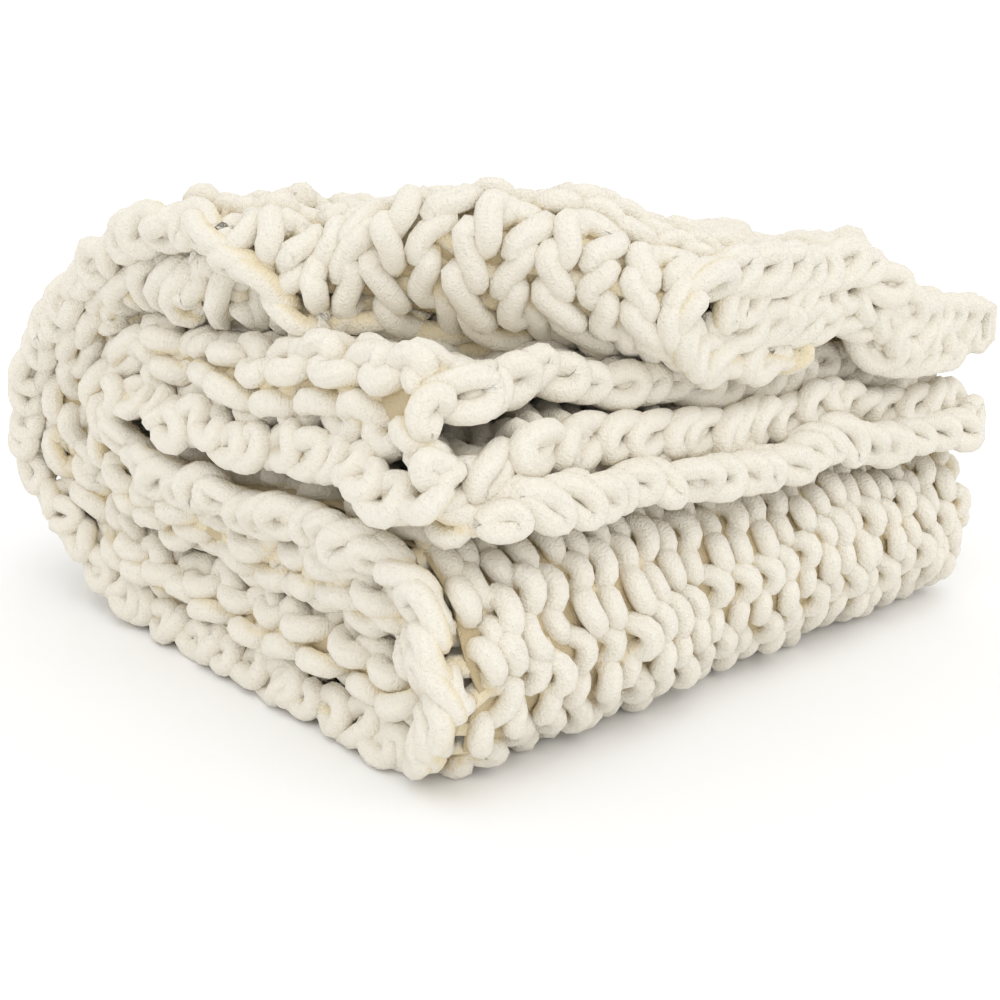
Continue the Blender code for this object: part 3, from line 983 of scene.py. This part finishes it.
class KnitThrowColours(bpy.types.PropertyGroup):
    """Colours and pile of the yarn"""

    cream: bpy.props.FloatVectorProperty(
        name="Cream",
        description="Main colour of the yarn",
        default=(0.885, 0.82, 0.685),
        min=0.0,
        max=1.0,
        size=3,
        subtype="COLOR",
    )
    # Pale mottle: random tone that the material shows only on raised parts, a painted light there
    pale: bpy.props.FloatVectorProperty(
        name="Pale",
        description="Colour of the tips of the pile",
        default=(0.91, 0.88, 0.81),
        min=0.0,
        max=1.0,
        size=3,
        subtype="COLOR",
    )
    # Painted shade: the colour that the yarn takes where it lies low between its neighbours
    deep: bpy.props.FloatVectorProperty(
        name="Deep",
        description="Colour of the yarn where it goes down between its neighbours",
        default=(0.86, 0.75, 0.52),
        min=0.0,
        max=1.0,
        size=3,
        subtype="COLOR",
    )
    # Painted shade: the backing cloth is this dark colour all over, seen in the gaps between
    # strands
    painted_gap_shade: bpy.props.FloatVectorProperty(
        name="Ground",
        description="Colour of the cloth behind the strands",
        default=(0.62, 0.51, 0.32),
        min=0.0,
        max=1.0,
        size=3,
        subtype="COLOR",
    )
    roughness: bpy.props.FloatProperty(
        name="Roughness",
        description="Roughness of the pile",
        default=0.95,
        min=0.0,
        max=1.0,
        subtype="FACTOR",
    )
    sheen: bpy.props.FloatProperty(
        name="Sheen",
        description="Soft light at the rims of the pile",
        default=0.25,
        min=0.0,
        max=1.0,
        subtype="FACTOR",
    )
    pile_strength: bpy.props.FloatProperty(
        name="Pile Strength",
        description="How strongly the ribs and the pile show",
        default=0.7,
        min=0.0,
        max=1.0,
        subtype="FACTOR",
    )


class KnitThrowStage(bpy.types.PropertyGroup):
    """Light and floor"""

    floor_colour: bpy.props.FloatVectorProperty(
        name="Floor Colour",
        description="Colour of the plain floor",
        default=(0.97, 0.97, 0.97),
        min=0.0,
        max=1.0,
        size=3,
        subtype="COLOR",
    )
    floor_size: bpy.props.FloatProperty(
        name="Floor Size",
        description="Length of each side of the floor",
        default=120.0,
        min=2.0,
        max=400.0,
        subtype="DISTANCE",
        unit="LENGTH",
    )
    room_light: bpy.props.FloatProperty(
        name="Room Light",
        description="Strength of the even light from all sides",
        default=0.96,
        min=0.0,
        max=5.0,
    )
    top_light: bpy.props.FloatProperty(
        name="Top Light",
        description="Strength of the wide light from above",
        default=0.62,
        min=0.0,
        max=20.0,
    )


class KNITTHROW_OT_add_courses(bpy.types.Operator):
    """Add the courses of looped yarn, in pieces of neighbouring courses"""

    bl_idname = "knit_throw.add_courses"
    bl_label = "Add Yarn Courses"
    bl_options = {"REGISTER", "UNDO"}

    def execute(self, context):
        sizes = context.scene.knit_throw_sizes
        material = yarn_material(context.scene.knit_throw_colours)
        draw = np.random.default_rng(SEED)
        cloth_width = OUTER_SHEET_LENGTH + 2.0 * (FULL_WIDTH + TURN_LENGTH)
        count = EXTRA_COURSES + int((cloth_width - sizes.loop_height) / sizes.course_pitch) + 1
        for first in range(0, count, COURSES_IN_PIECE):
            strands = Strands()
            for number in range(first, min(first + COURSES_IN_PIECE, count)):
                course(number, sizes, draw, strands)
            strands.build("%s_%d" % (COURSES_NAME, first // COURSES_IN_PIECE + 1), material)
        return {"FINISHED"}


class KNITTHROW_OT_add_edges(bpy.types.Operator):
    """Add the loops that finish the front edges, the flap's edge and the side edge"""

    bl_idname = "knit_throw.add_edges"
    bl_label = "Add Edge Loops"
    bl_options = {"REGISTER", "UNDO"}

    def execute(self, context):
        sizes = context.scene.knit_throw_sizes
        material = yarn_material(context.scene.knit_throw_colours)
        draw = np.random.default_rng(SEED + 1)

        strands = Strands()
        for low, high, kind in STACK_EDGES:
            across = np.linspace(low, high, int(LINE_STEPS_PER_RUN * (high - low)))
            line, out = edge_line(across, np.full_like(across, LAST_ALONG), 0.0, -INWARD_STEP)
            edge_loops(line, out, kind, sizes, draw, strands)
        strands.build(EDGE_NAMES[0], material)

        strands = Strands()
        across = np.linspace(*FLAP_EDGE, len(ACROSS) * LINE_STEPS_PER_RUN)
        line, out = edge_line(across, np.full_like(across, FIRST_ALONG), 0.0, INWARD_STEP)
        edge_loops(line, out, "middle", sizes, draw, strands)
        strands.build(EDGE_NAMES[1], material)

        strands = Strands()
        along = np.linspace(0.0, LAST_ALONG, len(ALONG) * LINE_STEPS_PER_RUN)
        line, out = edge_line(np.full_like(along, SIDE_EDGE_ACROSS), along, INWARD_STEP, 0.0)
        edge_loops(line, out, "side", sizes, draw, strands)
        strands.build(EDGE_NAMES[2], material)
        return {"FINISHED"}


class KNITTHROW_OT_add_ground(bpy.types.Operator):
    bl_idname = "knit_throw.add_ground"
    bl_label = "Add Ground Cloth"
    bl_options = {"REGISTER", "UNDO"}

    def execute(self, context):
        colours = context.scene.knit_throw_colours
        # The sheet is the dark colour all over, a painted shade for the gaps between strands
        material = chenille_material("ground_pile", colours, colours.painted_gap_shade, colours.painted_gap_shade)
        across = np.clip(grid_places(ACROSS), GROUND_INSET, len(ACROSS) - GROUND_INSET)[:, None]
        along = np.clip(grid_places(ALONG), GROUND_INSET, len(ALONG) - GROUND_INSET)[None, :]
        across, along = np.broadcast_arrays(across, along)
        half = np.full(across.shape, 0.5 * GROUND_THICKNESS)
        sides = [grounded(on_cloth(across, along, way * half)) for way in (1.0, -1.0)]
        points = np.concatenate([side.reshape(-1, 3) for side in sides])
        faces = ground_faces(*across.shape)
        uvs = np.zeros((len(faces), 4, 2))
        made = mesh_object(GROUND_NAME, points, faces, uvs, material)
        names = (COURSES_NAME, *EDGE_NAMES)
        strands = [item for item in context.scene.objects if item.name.startswith(names)]
        if not strands:
            raise RuntimeError("the yarn is added before the ground cloth")
        return {"FINISHED"}


class KNITTHROW_OT_add_stage(bpy.types.Operator):
    """Add the camera, the floor and the light"""

    bl_idname = "knit_throw.add_stage"
    bl_label = "Add Stage"
    bl_options = {"REGISTER", "UNDO"}

    def execute(self, context):
        stage = context.scene.knit_throw_stage
        camera_data = bpy.data.cameras.new("camera")
        camera_data.lens = CAMERA_LENS
        camera = bpy.data.objects.new("camera", camera_data)
        context.scene.collection.objects.link(camera)
        away = Vector(
            (
                math.sin(CAMERA_AZIMUTH) * math.cos(CAMERA_ELEVATION),
                -math.cos(CAMERA_AZIMUTH) * math.cos(CAMERA_ELEVATION),
                math.sin(CAMERA_ELEVATION),
            )
        )
        camera.location = Vector(CAMERA_TARGET) + CAMERA_DISTANCE * away
        camera.rotation_euler = (math.radians(90.0) - CAMERA_ELEVATION, 0.0, CAMERA_AZIMUTH)
        context.scene.camera = camera

        half = 0.5 * stage.floor_size
        mesh = bpy.data.meshes.new("floor")
        corners = [(-half, -half, 0.0), (half, -half, 0.0), (half, half, 0.0), (-half, half, 0.0)]
        mesh.from_pydata(corners, [], [(0, 1, 2, 3)])
        floor = bpy.data.objects.new("floor", mesh)
        context.scene.collection.objects.link(floor)
        material = bpy.data.materials.new("plain_floor")
        material.use_nodes = True
        shader = material.node_tree.nodes["Principled BSDF"]
        shader.inputs["Base Color"].default_value = (*stage.floor_colour, 1.0)
        shader.inputs["Roughness"].default_value = 1.0
        shader.inputs["Specular IOR Level"].default_value = 0.0
        mesh.materials.append(material)

        world = bpy.data.worlds.new("room")
        world.use_nodes = True
        background = world.node_tree.nodes["Background"]
        background.inputs["Color"].default_value = (1.0, 1.0, 1.0, 1.0)
        background.inputs["Strength"].default_value = stage.room_light
        context.scene.world = world
        light = bpy.data.lights.new("top_light", "SUN")
        light.energy = stage.top_light
        light.angle = TOP_LIGHT_WIDTH
        lamp = bpy.data.objects.new("top_light", light)
        lamp.rotation_euler = TOP_LIGHT_TURN
        context.scene.collection.objects.link(lamp)
        context.scene.view_settings.view_transform = "Standard"
        return {"FINISHED"}


class VIEW3D_PT_knit_throw(bpy.types.Panel):
    """Sizes, colours and steps of the knit throw"""

    bl_label = "Knit Throw"
    bl_idname = "VIEW3D_PT_knit_throw"
    bl_space_type = "VIEW_3D"
    bl_region_type = "UI"
    bl_category = "Knit Throw"

    def draw(self, context):
        scene = context.scene
        for settings in (scene.knit_throw_sizes, scene.knit_throw_colours, scene.knit_throw_stage):
            box = self.layout.box()
            for name in settings.__annotations__:
                box.prop(settings, name)
        for operator in OPERATORS:
            self.layout.operator(operator.bl_idname)


SETTINGS = {
    "knit_throw_sizes": KnitThrowSizes,
    "knit_throw_colours": KnitThrowColours,
    "knit_throw_stage": KnitThrowStage,
}
OPERATORS = (
    KNITTHROW_OT_add_courses,
    KNITTHROW_OT_add_edges,
    KNITTHROW_OT_add_ground,
    KNITTHROW_OT_add_stage,
)
CLASSES = (*SETTINGS.values(), *OPERATORS, VIEW3D_PT_knit_throw)


def register():
    for item in CLASSES:
        bpy.utils.register_class(item)
    for name, group in SETTINGS.items():
        setattr(bpy.types.Scene, name, bpy.props.PointerProperty(type=group))


def unregister():
    for name in SETTINGS:
        delattr(bpy.types.Scene, name)
    for item in reversed(CLASSES):
        bpy.utils.unregister_class(item)


def main():
    register()
    bpy.ops.knit_throw.add_courses()
    bpy.ops.knit_throw.add_edges()
    bpy.ops.knit_throw.add_ground()
    bpy.ops.knit_throw.add_stage()


if __name__ == "__main__":
    main()
